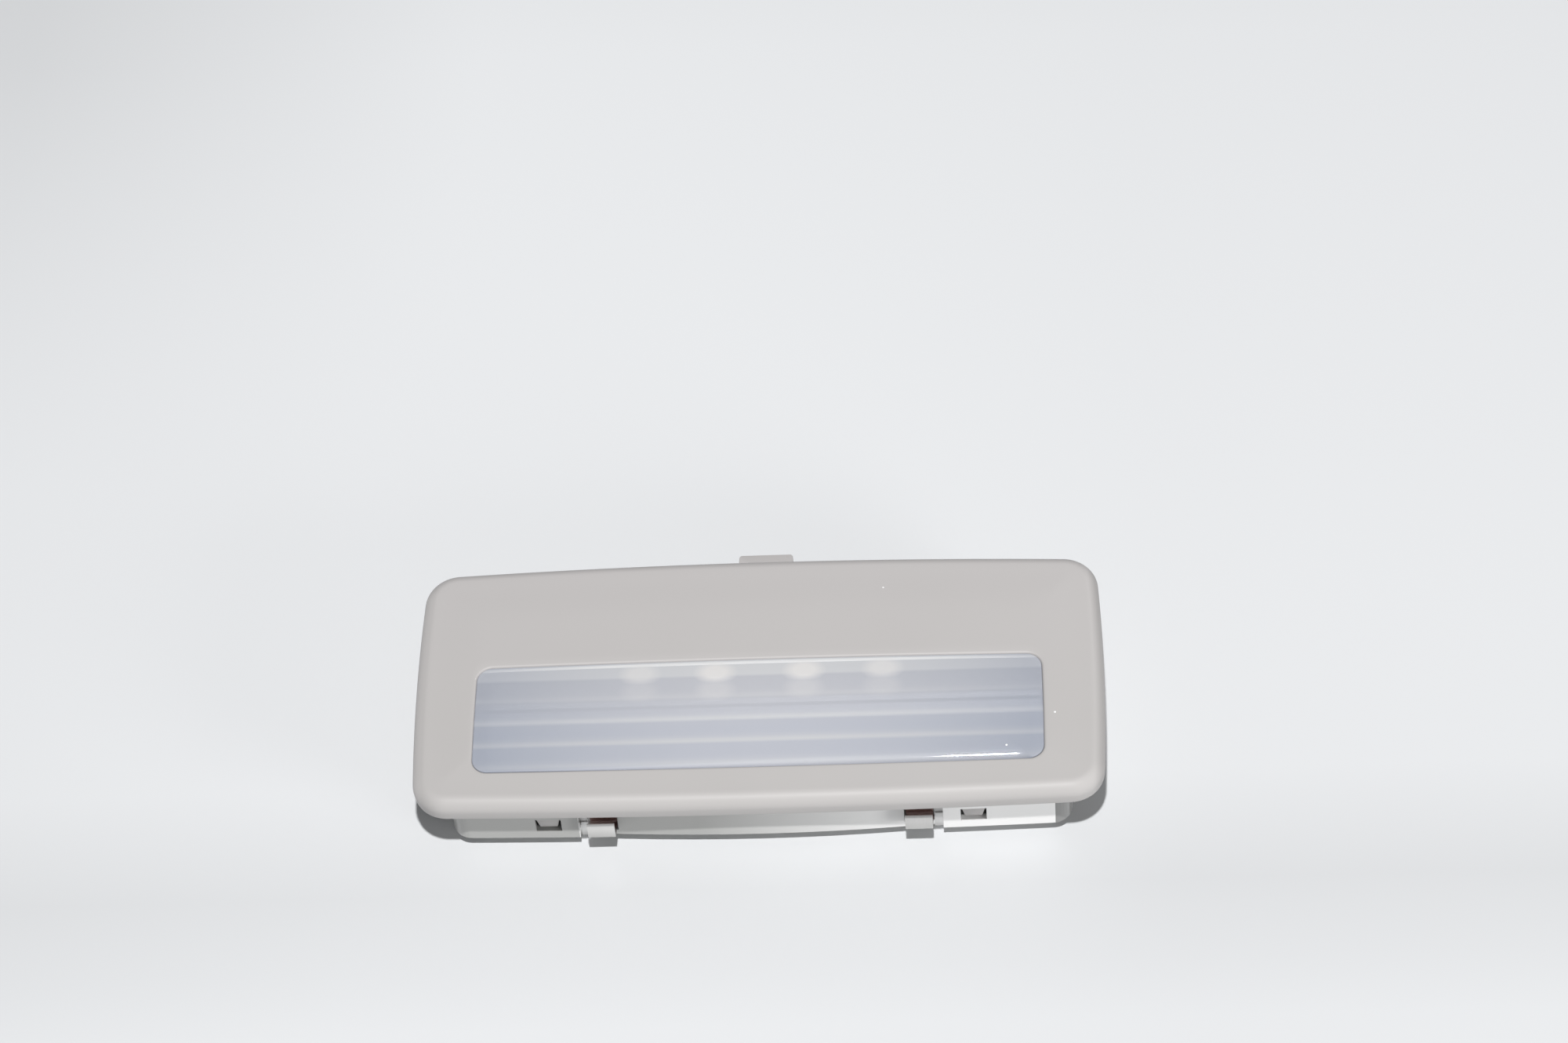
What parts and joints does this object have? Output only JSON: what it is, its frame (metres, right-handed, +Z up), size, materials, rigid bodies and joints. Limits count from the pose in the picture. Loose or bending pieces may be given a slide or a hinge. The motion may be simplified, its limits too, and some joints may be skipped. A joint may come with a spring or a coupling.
{
  "type": "car interior light",
  "caption": "Slim rectangular car interior light: rounded grey trim frame, clear fluted lens, white stepped housing, spring clips in front and a hook at the back.",
  "frame": {"origin": "on the outer face of the housing floor, on which the light stands, under the middle of the trim frame's outline", "axes": "+X along the width towards the socket end, +Y towards the hook at the back, +Z up through the lens, so the light shines towards +Z"},
  "size_m": [0.1, 0.0478, 0.0147],
  "materials": {
    "trim_plastic": "satin, fine even grain, warm light grey",
    "lens_clear": "clear moulded plastic with a slight blue cast, polished face, fluted inside",
    "housing_white": "glossy off-white moulding",
    "reflector_white": "smooth silvery white",
    "board_green": "green solder resist over glass fibre",
    "lamp_white": "white lamp package with a pale yellow face",
    "spring_steel": "bare rolled spring steel strip",
    "socket_plastic": "natural white moulding",
    "pin_metal": "tin-plated brass, bright",
    "resistor_black": "black glass coat with tinned ends",
    "diode_black": "black moulded body with flat tinned leads",
    "capacitor_tan": "tan fired body with tinned ends",
    "suppressor_grey": "dark grey fired body with tinned ends"
  },
  "bodies": {
    "root": {"bezel": "trim_plastic", "lens": "lens_clear", "housing": "housing_white", "reflector": "reflector_white", "circuit_board": "board_green", "led_1": "lamp_white", "led_2": "lamp_white", "led_3": "lamp_white", "led_4": "lamp_white", "spring_clip_left": "spring_steel", "spring_clip_right": "spring_steel", "connector_socket": "socket_plastic", "contact_pin_1": "pin_metal", "contact_pin_2": "pin_metal", "resistor_1": "resistor_black", "resistor_2": "resistor_black", "resistor_3": "resistor_black", "resistor_4": "resistor_black", "diode": "diode_black", "capacitor": "capacitor_tan", "suppressor": "suppressor_grey"}
  },
  "joints": []
}
